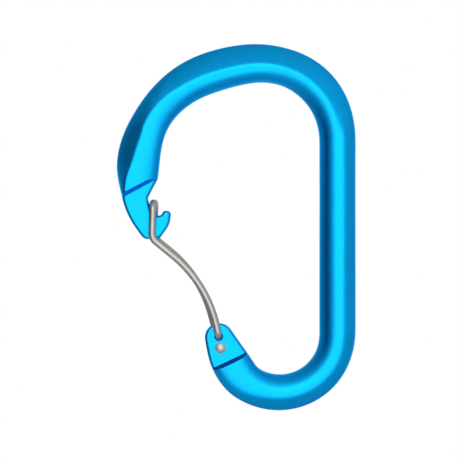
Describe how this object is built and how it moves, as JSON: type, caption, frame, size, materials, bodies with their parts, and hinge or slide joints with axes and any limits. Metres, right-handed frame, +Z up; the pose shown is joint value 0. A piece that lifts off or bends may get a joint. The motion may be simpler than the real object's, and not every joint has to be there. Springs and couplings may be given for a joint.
{
  "type": "wire-gate carabiner",
  "caption": "Forged aluminium wire-gate carabiner with a hooked nose, an anodised blue frame and a sprung steel wire gate that opens inwards.",
  "frame": {"origin": "seat of the anchor: the crown's inner side where the bar runs level, at mid thickness", "axes": "+X from the gate to the spine, +Y from the front face to the back, +Z up as the part hangs from its anchor"},
  "size_m": [0.069, 0.01, 0.1059],
  "materials": {
    "anodised_frame": "satin blue anodising over forged aluminium",
    "gate_steel": "satin stainless spring wire"
  },
  "bodies": {
    "frame": {"frame": "anodised_frame"},
    "gate": {"gate_wire": "gate_steel", "gate_wire_sprung_end": "gate_steel"}
  },
  "joints": [
    {"name": "gate_hinge", "type": "hinge", "parent": "frame", "child": "gate", "pos_m": [-0.01145, 0, -0.07338], "axis": [0, 1, 0], "range_deg": [0, 65], "stiffness_Nm_per_rad": 0.2, "springref_deg": -28.65, "deforming": ["gate_wire_sprung_end"]}
  ]
}
